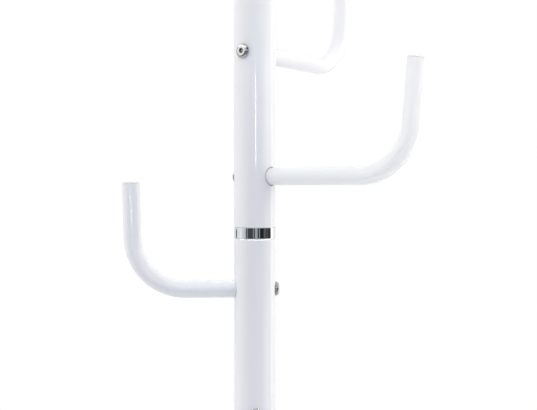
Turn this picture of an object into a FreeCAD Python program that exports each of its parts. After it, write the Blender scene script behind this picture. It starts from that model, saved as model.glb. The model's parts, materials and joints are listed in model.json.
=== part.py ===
import FreeCAD, Part
import math
import os
import re

import Sketcher

# Coat stand: a round foot, a pole of three screwed tubes with a ring at each joint,
# and bent tube hooks that pass into the pole and are held by a screw from the far side.
# Millimetres and degrees. Z is up, the origin is on the floor under the pole's axis.

# Driving dimensions
SIZES = {
    "pole_diameter": 38.0,
    "pole_wall": 1.2,
    "lower_length": 600.0,
    "middle_length": 600.0,
    "upper_length": 500.0,
    "ring_height": 10.0,
    "ring_bore": 26.0,
    "ring_chamfer": 0.5,
    "plug_length": 22.0,
    "plug_chamfer": 1.0,
    "spigot_gap": 0.1,
    "spigot_short": 0.4,
    "stud_diameter": 10.0,
    "stud_chamfer": 1.2,
    "stud_grip": 18.0,
    "top_cap_edge": 2.0,
    "top_cap_rise": 5.0,
    "top_cap_stem": 16.0,
    "top_cap_wall": 2.0,
    "hook_diameter": 16.0,
    "hook_wall": 1.2,
    "hook_hole_gap": 0.55,
    "hook_bend": 48.0,
    "hook_rise": 98.0,
    "hook_turn": 90.0,
    "long_reach": 153.0,
    "long_lean": 4.8,
    "short_reach": 110.0,
    "short_lean": 1.5,
    "first_hook": 51.2,
    "hook_pitch": 112.0,
    "upper_azimuth": -34.5,
    "middle_azimuth": 182.0,
    "tip_cap_head": 2.2,
    "tip_cap_edge": 1.2,
    "tip_cap_seam": 0.3,
    "tip_cap_stem": 12.0,
    "nut_length": 16.0,
    "screw_diameter": 6.0,
    "screw_hole": 6.6,
    "screw_length": 20.0,
    "screw_chamfer": 0.8,
    "screw_head": 13.0,
    "screw_head_height": 3.0,
    "screw_head_edge": 0.8,
    "screw_head_flat": 8.2,
    "screw_head_dome": 3.4,
    "socket_width": 4.0,
    "socket_depth": 2.1,
    "base_radius": 185.0,
    "base_sheet": 1.2,
    "base_slope": 10.0,
    "rim_roll": 10.0,
    "rim_level": 3.0,
    "seat_radius": 34.0,
    "seat_height": 30.0,
    "bolt_hole": 11.0,
    "plate_gap": 0.2,
    "plate_level": 5.0,
    "recess_radius": 30.0,
    "recess_flare": 4.0,
    "recess_depth": 8.0,
    "ballast_gap": 0.4,
    "washer_radius": 15.0,
    "washer_thickness": 2.0,
    "bolt_head_width": 16.0,
    "bolt_head_height": 6.4,
    "bolt_length": 45.0,
    "pad_radius": 13.0,
    "pad_taper": 1.5,
    "pad_circle": 152.0,
    "pad_hollow": 6.0,
    "pad_hollow_depth": 1.5,
    "pad_count": 4.0,
}
HOOKS_PER_SECTION = 4

doc = FreeCAD.newDocument("coat_stand")
sheet = doc.addObject("Spreadsheet::Sheet", "Sizes")
for row, (alias, size) in enumerate(SIZES.items(), start=1):
    sheet.set(f"A{row}", alias)
    sheet.set(f"B{row}", str(size))
    sheet.setAlias(f"B{row}", alias)
doc.recompute()


# Formulas shared by several pieces
POLE_R = "pole_diameter / 2"
BORE_R = "(pole_diameter / 2 - pole_wall)"
HOOK_R = "hook_diameter / 2"
HOOK_BORE_R = "(hook_diameter / 2 - hook_wall)"
HOOK_HOLE_R = "(hook_diameter / 2 + hook_hole_gap)"
HOOK_END = f"sqrt({BORE_R} ^ 2 - ({HOOK_R}) ^ 2)"
LOWER_FOOT = "(seat_height + ring_height)"
LOWER_TOP = f"({LOWER_FOOT} + lower_length)"
MIDDLE_FOOT = f"({LOWER_TOP} + ring_height)"
MIDDLE_TOP = f"({MIDDLE_FOOT} + middle_length)"
UPPER_FOOT = f"({MIDDLE_TOP} + ring_height)"
UPPER_TOP = f"({UPPER_FOOT} + upper_length)"
HOOK_DATUM = f"({MIDDLE_TOP} + ring_height / 2)"
RECESS_TOP = "(plate_level + recess_depth)"


# Helpers
def bound(formula):
    """The formula as an expression on the sheet's cells."""
    return re.sub(
        r"[a-z][a-z0-9_]*",
        lambda word: "Sizes." + word.group() if word.group() in SIZES else word.group(),
        formula,
    )


def value(formula):
    return float(sheet.evalExpression(bound(formula)))


def bind(item, prop, formula):
    item.setExpression(prop, bound(formula))


def new_body(label):
    body = doc.addObject("PartDesign::Body", label)
    body.Label = label
    return body


def origin_item(body, role):
    return next(item for item in body.Origin.OriginFeatures if item.Role == role)


def new_sketch(body, name, role):
    sketch = body.newObject("Sketcher::SketchObject", name)
    sketch.AttachmentSupport = [(origin_item(body, role), "")]
    sketch.MapMode = "FlatFace"
    return sketch


def fix_point(sketch, edge, end, x, y):
    """Ties one end of an edge to a place given by two formulas."""
    for kind, formula in (("DistanceX", x), ("DistanceY", y)):
        index = sketch.addConstraint(
            Sketcher.Constraint(kind, -1, 1, edge, end, value(formula))
        )
        bind(sketch, f"Constraints[{index}]", formula)


def arc_edge(start, finish, radius):
    """A short arc from start to finish: anticlockwise for a radius over zero, else clockwise."""
    chord = finish - start
    side = FreeCAD.Vector(-chord.y, chord.x, 0).normalize()
    offset = math.sqrt(max(radius**2 - (chord.Length / 2) ** 2, 0.0))
    centre = start + chord * 0.5 + side * math.copysign(offset, radius)
    first, last = (start, finish) if radius > 0 else (finish, start)
    circle = Part.Circle(centre, FreeCAD.Vector(0, 0, 1), abs(radius))
    return Part.ArcOfCircle(circle, circle.parameter(first), circle.parameter(last))


def outline(sketch, corners, closed=True):
    """Draws edges through corners, each (x, y) or (x, y, radius of the arc that follows)."""
    places = [FreeCAD.Vector(value(x), value(y), 0) for x, y, *_ in corners]
    count = len(corners) if closed else len(corners) - 1
    ends = []
    for number in range(count):
        start = places[number]
        finish = places[(number + 1) % len(places)]
        if len(corners[number]) == 2:
            edge = sketch.addGeometry(Part.LineSegment(start, finish))
            ends.append((edge, 1, 2))
            continue
        formula = corners[number][2]
        radius = value(formula)
        edge = sketch.addGeometry(arc_edge(start, finish, radius))
        index = sketch.addConstraint(Sketcher.Constraint("Radius", edge, abs(radius)))
        bind(sketch, f"Constraints[{index}]", f"abs({formula})")
        ends.append((edge, 1, 2) if radius > 0 else (edge, 2, 1))
    for number, (edge, first, last) in enumerate(ends):
        fix_point(sketch, edge, first, *corners[number][:2])
        if closed or number + 1 < count:
            following, begin, _ = ends[(number + 1) % count]
            sketch.addConstraint(Sketcher.Constraint("Coincident", edge, last, following, begin))
        else:
            fix_point(sketch, edge, last, *corners[-1][:2])


def circle(sketch, x, y, radius):
    centre = FreeCAD.Vector(value(x), value(y), 0)
    edge = sketch.addGeometry(Part.Circle(centre, FreeCAD.Vector(0, 0, 1), value(radius)))
    index = sketch.addConstraint(Sketcher.Constraint("Radius", edge, value(radius)))
    bind(sketch, f"Constraints[{index}]", radius)
    fix_point(sketch, edge, 3, x, y)


def hexagon(sketch, width):
    """A regular hexagon about the sketch's origin, a corner on its first axis."""
    corner_r = f"{width} / sqrt(3)"
    outline(
        sketch,
        [(f"{corner_r} * cos({60 * n})", f"{corner_r} * sin({60 * n})") for n in range(6)],
    )


def revolve(body, sketch, axis="V_Axis"):
    turned = body.newObject("PartDesign::Revolution", body.Name + "_turned")
    turned.Profile = sketch
    turned.ReferenceAxis = (sketch, [axis])
    turned.Angle = 360
    return turned


def turned_piece(label, corners, level="0"):
    """A piece turned about Z: corners are radius and height, counted from level."""
    body = new_body(label)
    sketch = new_sketch(body, label + "_profile", "XZ_Plane")
    outline(sketch, corners)
    revolve(body, sketch)
    bind(body, "Placement", f"placement(vector(0; 0; {level}); rotation(vector(0; 0; 1); 0))")
    return body


# Pole
def pole_tube(label, foot, length):
    body = new_body(label)
    sketch = new_sketch(body, label + "_section", "XY_Plane")
    circle(sketch, "0", "0", POLE_R)
    circle(sketch, "0", "0", BORE_R)
    pad = body.newObject("PartDesign::Pad", label + "_pad")
    pad.Profile = sketch
    bind(pad, "Length", length)
    bind(body, "Placement", f"placement(vector(0; 0; {foot}); rotation(vector(0; 0; 1); 0))")
    return body


def cross_hole(body, name, azimuth, level, radius, outward):
    """A round hole in one wall of a tube, on the azimuth or on the far side from it."""
    sketch = new_sketch(body, name + "_sketch", "YZ_Plane")
    bind(
        sketch,
        "AttachmentOffset",
        f"placement(vector(0; 0; 0); rotation(vector(0; 1; 0); {azimuth}))",
    )
    circle(sketch, "0", level, radius)
    pocket = body.newObject("PartDesign::Pocket", name)
    pocket.Profile = sketch
    pocket.Type = "Length"
    pocket.Reversed = outward
    bind(pocket, "Length", "pole_diameter")
    return pocket


def joint_ring(label, level):
    return turned_piece(
        label,
        [
            ("ring_bore / 2", "0"),
            (f"{POLE_R} - ring_chamfer", "0"),
            (POLE_R, "ring_chamfer"),
            (POLE_R, "ring_height - ring_chamfer"),
            (f"{POLE_R} - ring_chamfer", "ring_height"),
            ("ring_bore / 2", "ring_height"),
        ],
        level,
    )


def plain_plug(label, level):
    """A tapped plug in a tube's lower end, flush with it."""
    return turned_piece(
        label,
        [
            ("stud_diameter / 2", "0"),
            (BORE_R, "0"),
            (BORE_R, "plug_length - plug_chamfer"),
            (f"{BORE_R} - plug_chamfer", "plug_length"),
            ("stud_diameter / 2", "plug_length"),
        ],
        level,
    )


def spigot_plug(label, level, way):
    """A tapped plug in a tube's end, with a spigot that centres the joint ring. way is 1 up, -1 down."""
    spigot = "ring_bore / 2 - spigot_gap"
    return turned_piece(
        label,
        [
            ("stud_diameter / 2", f"{-way} * plug_length"),
            (f"{BORE_R} - plug_chamfer", f"{-way} * plug_length"),
            (BORE_R, f"{-way} * (plug_length - plug_chamfer)"),
            (BORE_R, "0"),
            (spigot, "0"),
            (spigot, f"{way} * (ring_height - spigot_short)"),
            ("stud_diameter / 2", f"{way} * (ring_height - spigot_short)"),
        ],
        level,
    )


def joint_stud(label, level):
    """A threaded stud that runs from the plug below the ring into the plug above it."""
    low = "-stud_grip"
    high = "ring_height + stud_grip"
    return turned_piece(
        label,
        [
            ("0", low),
            ("stud_diameter / 2 - stud_chamfer", low),
            ("stud_diameter / 2", f"{low} + stud_chamfer"),
            ("stud_diameter / 2", f"{high} - stud_chamfer"),
            ("stud_diameter / 2 - stud_chamfer", high),
            ("0", high),
        ],
        level,
    )


def top_cap():
    """A hollow moulded cap: a low dome over the tube's end and a stem inside it."""
    return turned_piece(
        "top_cap",
        [
            ("0", "0"),
            (f"{BORE_R} - top_cap_wall", "0"),
            (f"{BORE_R} - top_cap_wall", "-top_cap_stem"),
            (BORE_R, "-top_cap_stem"),
            (BORE_R, "0"),
            (POLE_R, "0"),
            (POLE_R, "top_cap_edge", f"(({POLE_R}) ^ 2 + top_cap_rise ^ 2) / (2 * top_cap_rise)"),
            ("0", "top_cap_edge + top_cap_rise"),
        ],
        UPPER_TOP,
    )


# Hooks, each drawn with the pole's axis at zero, the hook going out along +X and turning up
def hook_place(body, level, azimuth):
    bind(body, "Placement", f"placement(vector(0; 0; {level}); rotation(vector(0; 0; 1); {azimuth}))")


def hook_tube(label, reach, lean):
    """A bent tube: straight out of the pole, round the bend and up, leaning out a little."""
    setback = f"hook_bend * tan((90 - {lean}) / 2)"
    upright = f"(hook_rise / cos({lean}) - tip_cap_head)"
    body = new_body(label)
    path = new_sketch(body, label + "_path", "XZ_Plane")
    outline(
        path,
        [
            (f"-{HOOK_END}", "0"),
            (f"{reach} - {setback}", "0", "hook_bend"),
            (f"{reach} + {setback} * sin({lean})", f"{setback} * cos({lean})"),
            (f"{reach} + {upright} * sin({lean})", f"{upright} * cos({lean})"),
        ],
        closed=False,
    )
    section = new_sketch(body, label + "_section", "YZ_Plane")
    bind(section, "AttachmentOffset.Base.z", f"-{HOOK_END}")
    circle(section, "0", "0", HOOK_R)
    circle(section, "0", "0", HOOK_BORE_R)
    pipe = body.newObject("PartDesign::AdditivePipe", label + "_pipe")
    pipe.Profile = section
    pipe.Spine = (path, ["Edge1", "Edge2", "Edge3"])
    return body


def hook_tip_cap(label, reach, lean):
    """A moulded cap pressed into the hook's tip: a round-edged head and a stem."""
    upright = f"(hook_rise / cos({lean}) - tip_cap_head)"
    body = new_body(label)
    sketch = new_sketch(body, label + "_profile", "XZ_Plane")
    bind(
        sketch,
        "AttachmentOffset",
        f"placement(vector({reach} + {upright} * sin({lean}); {upright} * cos({lean}); 0);"
        f" rotation(vector(0; 0; -1); {lean}))",
    )
    outline(
        sketch,
        [
            ("0", "-tip_cap_stem"),
            (HOOK_BORE_R, "-tip_cap_stem"),
            (HOOK_BORE_R, "0"),
            (f"{HOOK_R} - tip_cap_seam", "0"),
            (HOOK_R, "tip_cap_seam"),
            (HOOK_R, "tip_cap_head - tip_cap_edge", "tip_cap_edge"),
            (f"{HOOK_R} - tip_cap_edge", "tip_cap_head"),
            ("0", "tip_cap_head"),
        ],
    )
    revolve(body, sketch)
    return body


def hook_nut(label):
    """A tapped slug in the hook's inner end."""
    body = new_body(label)
    sketch = new_sketch(body, label + "_profile", "XZ_Plane")
    outline(
        sketch,
        [
            (f"-{HOOK_END}", "screw_diameter / 2"),
            (f"nut_length - {HOOK_END}", "screw_diameter / 2"),
            (f"nut_length - {HOOK_END}", HOOK_BORE_R),
            (f"-{HOOK_END}", HOOK_BORE_R),
        ],
    )
    revolve(body, sketch, "H_Axis")
    return body


def hook_screw(label):
    """A button-head screw that enters the pole on the side away from the hook."""
    under_head = f"-{POLE_R}"
    head_top = f"-({POLE_R} + screw_head_height)"
    tip = f"screw_length - {POLE_R}"
    body = new_body(label)
    sketch = new_sketch(body, label + "_profile", "XZ_Plane")
    outline(
        sketch,
        [
            (tip, "0"),
            (tip, "screw_diameter / 2 - screw_chamfer"),
            (f"{tip} - screw_chamfer", "screw_diameter / 2"),
            (under_head, "screw_diameter / 2"),
            (under_head, "screw_head / 2"),
            (f"{under_head} - screw_head_edge", "screw_head / 2", "screw_head_dome"),
            (head_top, "screw_head_flat / 2"),
            (head_top, "0"),
        ],
    )
    revolve(body, sketch, "H_Axis")
    socket = new_sketch(body, label + "_socket_sketch", "YZ_Plane")
    bind(
        socket,
        "AttachmentOffset",
        f"placement(vector(0; 0; {head_top}); rotation(vector(0; 0; 1); 90))",
    )
    hexagon(socket, "socket_width")
    pocket = body.newObject("PartDesign::Pocket", label + "_socket")
    pocket.Profile = socket
    pocket.Type = "Length"
    pocket.Reversed = True
    bind(pocket, "Length", "socket_depth")
    return body


# Foot
def base_shell():
    """A pressed dish: flat seat in the middle, a dome, a rolled rim and a short skirt."""
    centre_r = "base_radius - rim_roll"
    rim_r = f"({centre_r} + rim_roll * sin(base_slope))"
    rim_z = f"(seat_height - ({rim_r} - seat_radius) * tan(base_slope / 2))"
    centre_z = f"({rim_z} - rim_roll * cos(base_slope))"
    dome = f"({rim_r} - seat_radius) / sin(base_slope)"
    inner_r = f"({rim_r} - base_sheet * sin(base_slope))"
    inner_z = f"({rim_z} - base_sheet * cos(base_slope))"
    return turned_piece(
        "base_shell",
        [
            ("bolt_hole / 2", "seat_height"),
            ("bolt_hole / 2", "seat_height - base_sheet"),
            ("seat_radius", "seat_height - base_sheet", f"-({dome} - base_sheet)"),
            (inner_r, inner_z, "-(rim_roll - base_sheet)"),
            ("base_radius - base_sheet", centre_z),
            ("base_radius - base_sheet", "rim_level"),
            ("base_radius", "rim_level"),
            ("base_radius", centre_z, "rim_roll"),
            (rim_r, rim_z, dome),
            ("seat_radius", "seat_height"),
        ],
    )


def base_plate():
    """The closing plate, with a pressed recess that keeps the bolt's head off the floor."""
    outer = "base_radius - base_sheet - plate_gap"
    return turned_piece(
        "base_plate",
        [
            ("bolt_hole / 2", RECESS_TOP),
            ("recess_radius", RECESS_TOP),
            ("recess_radius + recess_flare", "plate_level"),
            (outer, "plate_level"),
            (outer, "plate_level + base_sheet"),
            ("recess_radius + recess_flare", "plate_level + base_sheet"),
            ("recess_radius", f"{RECESS_TOP} + base_sheet"),
            ("bolt_hole / 2", f"{RECESS_TOP} + base_sheet"),
        ],
    )


def base_ballast():
    """A cast weight: a ring on the plate, and a hub that carries the bolt's pull to the seat."""
    slope = "tan(base_slope / 2)"
    rim_r = "(base_radius - 2 * rim_roll)"
    seat = "seat_height - base_sheet"
    rim_z = f"({seat} - ballast_gap - ({rim_r} - seat_radius) * {slope})"
    return turned_piece(
        "base_ballast",
        [
            ("bolt_hole / 2", f"{RECESS_TOP} + base_sheet"),
            ("recess_radius + 2 * ballast_gap", f"{RECESS_TOP} + base_sheet"),
            ("recess_radius + recess_flare + 2 * ballast_gap", "plate_level + base_sheet"),
            (rim_r, "plate_level + base_sheet"),
            (rim_r, rim_z),
            ("seat_radius", f"{seat} - ballast_gap"),
            ("seat_radius - ballast_gap", seat),
            ("bolt_hole / 2", seat),
        ],
    )


def base_washer():
    low = f"{RECESS_TOP} - washer_thickness"
    return turned_piece(
        "base_washer",
        [
            ("bolt_hole / 2", low),
            ("washer_radius", low),
            ("washer_radius", RECESS_TOP),
            ("bolt_hole / 2", RECESS_TOP),
        ],
    )


def base_bolt():
    """A hexagon-head bolt up through the foot into the plug of the lowest tube."""
    under_head = f"({RECESS_TOP} - washer_thickness)"
    body = turned_piece(
        "base_bolt",
        [
            ("0", under_head),
            ("stud_diameter / 2", under_head),
            ("stud_diameter / 2", f"{under_head} + bolt_length - stud_chamfer"),
            ("stud_diameter / 2 - stud_chamfer", f"{under_head} + bolt_length"),
            ("0", f"{under_head} + bolt_length"),
        ],
    )
    sketch = new_sketch(body, "base_bolt_hexagon", "XY_Plane")
    bind(sketch, "AttachmentOffset.Base.z", f"{under_head} - bolt_head_height")
    hexagon(sketch, "bolt_head_width")
    head = body.newObject("PartDesign::Pad", "base_bolt_head")
    head.Profile = sketch
    bind(head, "Length", "bolt_head_height")
    return body


def base_feet():
    """Rubber pads under the plate, tapered, each with a shallow hollow in its sole."""
    body = new_body("base_feet")
    sketch = new_sketch(body, "base_feet_profile", "XZ_Plane")
    bind(sketch, "AttachmentOffset.Base.x", "pad_circle")
    outline(
        sketch,
        [
            ("0", "pad_hollow_depth"),
            ("pad_hollow", "pad_hollow_depth"),
            ("pad_hollow", "0"),
            ("pad_radius - pad_taper", "0"),
            ("pad_radius", "plate_level"),
            ("0", "plate_level"),
        ],
    )
    pad = revolve(body, sketch)
    doc.recompute()
    ring = body.newObject("PartDesign::PolarPattern", "base_feet_ring")
    ring.Originals = [pad]
    ring.Axis = (origin_item(body, "Z_Axis"), [""])
    ring.Angle = 360
    bind(ring, "Occurrences", "pad_count")
    body.Tip = ring
    return body


def group(label, members):
    compound = doc.addObject("Part::Compound", label)
    compound.Label = label
    compound.Links = members
    return compound


# Assembly
lower_tube = pole_tube("lower_tube", LOWER_FOOT, "lower_length")
middle_tube = pole_tube("middle_tube", MIDDLE_FOOT, "middle_length")
upper_tube = pole_tube("upper_tube", UPPER_FOOT, "upper_length")
pieces = [
    base_shell(),
    base_plate(),
    base_ballast(),
    base_washer(),
    base_bolt(),
    base_feet(),
    joint_ring("base_ring", "seat_height"),
    joint_ring("lower_ring", LOWER_TOP),
    joint_ring("upper_ring", MIDDLE_TOP),
    spigot_plug("lower_tube_foot_plug", LOWER_FOOT, -1),
    spigot_plug("lower_tube_top_plug", LOWER_TOP, 1),
    plain_plug("middle_tube_foot_plug", MIDDLE_FOOT),
    spigot_plug("middle_tube_top_plug", MIDDLE_TOP, 1),
    plain_plug("upper_tube_foot_plug", UPPER_FOOT),
    joint_stud("lower_joint_stud", LOWER_TOP),
    joint_stud("upper_joint_stud", MIDDLE_TOP),
    top_cap(),
    lower_tube,
    middle_tube,
    upper_tube,
]
sections = [
    ("upper_hook", upper_tube, UPPER_FOOT, 1, "upper_azimuth", "long_reach", "long_lean"),
    ("middle_hook", middle_tube, MIDDLE_FOOT, -1, "middle_azimuth", "short_reach", "short_lean"),
]
screws = []
nuts = []
holes = []
for name, tube, tube_foot, way, first_azimuth, reach, lean in sections:
    for step in range(HOOKS_PER_SECTION):
        label = f"{name}_{step + 1}"
        level = f"({HOOK_DATUM} + {way} * (first_hook + {step} * hook_pitch))"
        azimuth = f"({first_azimuth} + {way * step} * hook_turn)"
        height = f"{level} - {tube_foot}"
        holes.append(cross_hole(tube, label + "_hole", azimuth, height, HOOK_HOLE_R, True))
        holes.append(cross_hole(tube, label + "_screw_hole", azimuth, height, "screw_hole / 2", False))
        tubing = hook_tube(label, reach, lean)
        cap = hook_tip_cap(label + "_cap", reach, lean)
        nut = hook_nut(label + "_nut")
        screw = hook_screw(label + "_screw")
        for piece in (tubing, cap, nut, screw):
            hook_place(piece, level, azimuth)
        pieces += [tubing, cap]
        nuts.append(nut)
        screws.append(screw)
pieces += [group("hook_nuts", nuts), group("hook_screws", screws)]
doc.recompute()


# Checks, then one file for each piece
for item in doc.Objects:
    if "Invalid" in item.State or "Error" in item.State:
        raise RuntimeError(f"{item.Name} failed: {item.State}")
for piece in pieces:
    if piece.Shape.isNull() or not piece.Shape.isValid():
        raise RuntimeError(f"{piece.Label} has no valid shape")
for pocket in holes:
    if pocket.Shape.Volume > pocket.BaseFeature.Shape.Volume - 1.0:
        raise RuntimeError(f"{pocket.Name} cuts nothing")
for screw in screws:
    if screw.Shape.Volume > screw.Tip.BaseFeature.Shape.Volume - 1.0:
        raise RuntimeError(f"{screw.Label} has no socket")

os.makedirs("parts", exist_ok=True)
for piece in pieces:
    piece.Shape.exportStep(f"parts/{piece.Label}.step")
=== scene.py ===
# %% [markdown]
# # A white coat stand, dressed over its CAD frame
# The CAD model fixes every size and place. This lesson adds what the eye needs: rounded rims,
# bent tube, glossy paint, bright rings and soft studio light. All lengths are in metres.

# %% Load the frame
import cmath
import json
import math

import bpy
import numpy as np
from mathutils import Matrix, Vector


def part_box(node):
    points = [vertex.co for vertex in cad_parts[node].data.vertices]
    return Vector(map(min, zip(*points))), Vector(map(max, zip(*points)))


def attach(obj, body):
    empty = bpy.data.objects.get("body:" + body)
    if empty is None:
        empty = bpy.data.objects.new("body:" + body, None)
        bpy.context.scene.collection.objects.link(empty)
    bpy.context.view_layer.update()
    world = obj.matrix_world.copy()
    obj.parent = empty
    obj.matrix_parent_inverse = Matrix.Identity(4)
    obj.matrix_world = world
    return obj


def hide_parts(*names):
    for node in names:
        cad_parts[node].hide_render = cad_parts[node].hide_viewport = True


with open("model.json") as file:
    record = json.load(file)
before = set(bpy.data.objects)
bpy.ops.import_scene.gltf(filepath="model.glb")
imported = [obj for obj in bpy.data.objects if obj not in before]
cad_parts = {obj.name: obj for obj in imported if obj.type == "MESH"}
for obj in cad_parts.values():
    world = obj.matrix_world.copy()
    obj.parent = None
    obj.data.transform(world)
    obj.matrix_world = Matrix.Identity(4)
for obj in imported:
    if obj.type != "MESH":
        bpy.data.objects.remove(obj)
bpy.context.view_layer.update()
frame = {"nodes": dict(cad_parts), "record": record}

# %% [markdown]
# ## The camera
# The photograph was taken a little under a metre from the pole, just above the height of the
# upper ring, with a short telephoto lens. Distance, height and tilt were found by fitting the
# pole's edges, the ring, the hook tips and the screws; there is no shift and no blur.

# %% Camera
LENS = 64.106
SENSOR_WIDTH = 36.0
CAMERA_PLACE = Vector((0.004488, -0.87249, 1.29636))
CAMERA_TILT = 1.062
CAMERA_TURN = 0.514
scene = bpy.context.scene
camera = bpy.data.objects.new("camera", bpy.data.cameras.new("camera"))
camera.data.sensor_fit = "HORIZONTAL"
camera.data.sensor_width = SENSOR_WIDTH
camera.data.lens = LENS
camera.location = CAMERA_PLACE
camera.rotation_euler = (math.radians(90 - CAMERA_TILT), 0, math.radians(-CAMERA_TURN))
scene.collection.objects.link(camera)
scene.camera = camera
scene.view_settings.view_transform = "Standard"
print("camera at", tuple(round(x, 3) for x in CAMERA_PLACE))

# %% [markdown]
# ## Places read from the frame
# Every hook has a mount on its upright: a point on the axis, the axis itself and its straight
# length. With the hook's lowest point that is enough to find the line of the bent tube: out of
# the pole at one level, round a bend, and up.

# %% Hook places
UP = Vector((0, 0, 1))
HOOK_R = 0.008
POLE_R = 0.019
POLE_WALL = 0.0012
BORE_R = POLE_R - POLE_WALL


def read_hook(mount):
    """The line of one hook, from its upright's mount."""
    name = mount["name"].removesuffix("_upright")
    axis = Vector(mount["axis"]).normalized()
    middle = Vector(mount["pos_m"])
    half = axis * (mount["dims"]["length_mm"] / 1000 / 2)
    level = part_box(name)[0].z + HOOK_R
    corner = middle - axis * (middle.z - level) / axis.z
    out = Vector((axis.x, axis.y, 0)).normalized()
    setback = (middle - half - corner).length
    bend = setback / math.tan((math.pi / 2 - axis.angle(UP)) / 2)
    return dict(
        name=name,
        start=out * -math.sqrt(BORE_R**2 - HOOK_R**2) + UP * level,
        corner=corner,
        end=middle + half,
        axis=axis,
        out=out,
        level=level,
        bend=bend,
    )


hooks = [read_hook(m) for m in frame["record"]["mounts"] if m["name"].endswith("_upright")]
for hook in hooks:
    print(hook["name"], "level", round(hook["level"], 4), "bend", round(hook["bend"], 4))

# %% [markdown]
# ## Small tools for node trees
# Materials and Geometry Nodes trees are both built from nodes. One function adds a node, sets
# its options, and either wires or fills its inputs, so that a tree reads like a list. The nodes
# used most, for sums, ramps and noise, get a short function each.


# %% Node tools
def feed(tree, socket, value):
    """Wires a socket to an input, or sets the input to any other value."""
    if isinstance(value, bpy.types.NodeSocket):
        tree.links.new(value, socket)
    else:
        socket.default_value = value


def add(tree, kind, inputs=None, **options):
    """A new node with its options set and its inputs fed."""
    made = tree.nodes.new(kind)
    for key, value in options.items():
        setattr(made, key, value)
    for key, value in (inputs or {}).items():
        feed(tree, made.inputs[key], value)
    return made


def calc(tree, operation, *values):
    return add(tree, "ShaderNodeMath", dict(enumerate(values)), operation=operation).outputs[0]


def ramp(tree, value, start, stop, low, high, interpolation="SMOOTHSTEP"):
    """Goes from low to high while the value goes from start to stop."""
    ends = {"From Min": start, "From Max": stop, "To Min": low, "To Max": high}
    made = add(tree, "ShaderNodeMapRange", {"Value": value, **ends}, interpolation_type=interpolation)
    return made.outputs["Result"]


def noise(tree, position, scale, **values):
    inputs = {"Vector": position, "Scale": scale, **values}
    return add(tree, "ShaderNodeTexNoise", inputs).outputs["Fac"]


def along_height(tree, position):
    return add(tree, "ShaderNodeSeparateXYZ", {"Vector": position}).outputs["Z"]


def new_group(name, kind, inputs, outputs):
    """A node group with named sockets; returns the tree, its input node and its output node."""
    tree = bpy.data.node_groups.new(name, kind)
    for label, socket, value in inputs:
        made = tree.interface.new_socket(name=label, in_out="INPUT", socket_type=socket)
        if value is not None:
            made.default_value = value
    for label, socket in outputs:
        tree.interface.new_socket(name=label, in_out="OUTPUT", socket_type=socket)
    return tree, tree.nodes.new("NodeGroupInput"), tree.nodes.new("NodeGroupOutput")


# %% [markdown]
# ## Effects that several finishes share
# Sprayed powder and moulded plastic both have a faint ripple, polished and plated metal both
# show fine lines from the lathe, and everything that is handled has patches of a different
# gloss. Each effect is one shader group, placed in each material with its own values.

# %% Ripple
FLOAT = "NodeSocketFloat"
VECTOR = "NodeSocketVector"
FINER = 4.3
ripple, ins, outs = new_group(
    "surface_ripple",
    "ShaderNodeTree",
    [("Position", VECTOR, None), ("Wavelength", FLOAT, 0.002), ("Fine share", FLOAT, 0.3)],
    [("Height", FLOAT)],
)
coarse_scale = calc(ripple, "DIVIDE", 1.0, ins.outputs["Wavelength"])
fine_scale = calc(ripple, "MULTIPLY", coarse_scale, FINER)
coarse = noise(ripple, ins.outputs["Position"], coarse_scale, Detail=1.5, Roughness=0.4)
fine = noise(ripple, ins.outputs["Position"], fine_scale, Detail=1.0)
both = add(ripple, "ShaderNodeMix", {"Factor": ins.outputs["Fine share"], "A": coarse, "B": fine})
ripple.links.new(both.outputs["Result"], outs.inputs["Height"])
print("group", ripple.name)

# %% Handling marks
PATCH_START = 0.38
PATCH_STOP = 0.72
marks, ins, outs = new_group(
    "handling_marks",
    "ShaderNodeTree",
    [
        ("Position", VECTOR, None),
        ("Patch size", FLOAT, 0.02),
        ("Least", FLOAT, 0.1),
        ("Most", FLOAT, 0.2),
    ],
    [("Roughness", FLOAT)],
)
patch_scale = calc(marks, "DIVIDE", 1.0, ins.outputs["Patch size"])
patches = noise(marks, ins.outputs["Position"], patch_scale, Detail=4.0, Distortion=0.6)
spread = ramp(marks, patches, PATCH_START, PATCH_STOP, ins.outputs["Least"], ins.outputs["Most"])
marks.links.new(spread, outs.inputs["Roughness"])
print("group", marks.name)

# %% Specks
SPECK_EDGE = 0.03
specks, ins, outs = new_group(
    "specks",
    "ShaderNodeTree",
    [("Position", VECTOR, None), ("Spacing", FLOAT, 0.01), ("Size", FLOAT, 0.06)],
    [("Mask", FLOAT)],
)
speck_scale = calc(specks, "DIVIDE", 1.0, ins.outputs["Spacing"])
cells = add(
    specks,
    "ShaderNodeTexVoronoi",
    {"Vector": ins.outputs["Position"], "Scale": speck_scale, "Randomness": 1.0},
)
cell_value = add(specks, "ShaderNodeSeparateColor", {"Color": cells.outputs["Color"]}).outputs["Red"]
own_size = calc(specks, "MULTIPLY", cell_value, ins.outputs["Size"])
inside = calc(specks, "SUBTRACT", own_size, cells.outputs["Distance"])
specks.links.new(ramp(specks, inside, 0.0, SPECK_EDGE, 0.0, 1.0, "LINEAR"), outs.inputs["Mask"])
print("group", specks.name)

# %% Lathe lines
lathe, ins, outs = new_group(
    "lathe_lines",
    "ShaderNodeTree",
    [("Distance", FLOAT, 0.0), ("Pitch", FLOAT, 0.0002)],
    [("Height", FLOAT)],
)
turns = calc(lathe, "DIVIDE", ins.outputs["Distance"], ins.outputs["Pitch"])
grooves = add(
    lathe,
    "ShaderNodeTexNoise",
    {"W": turns, "Scale": 1.0, "Detail": 3.0},
    noise_dimensions="1D",
)
lathe.links.new(grooves.outputs["Fac"], outs.inputs["Height"])
print("group", lathe.name)

# %% [markdown]
# ## White powder coat
# The tubes, hooks and foot are sprayed with white powder and baked. The film is glossy and
# slightly blue, flows out to a faint ripple, and holds a few grains of dust. The gloss comes
# from the shader; only the ripple, the grains and the slow change of tone are nodes.


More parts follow.
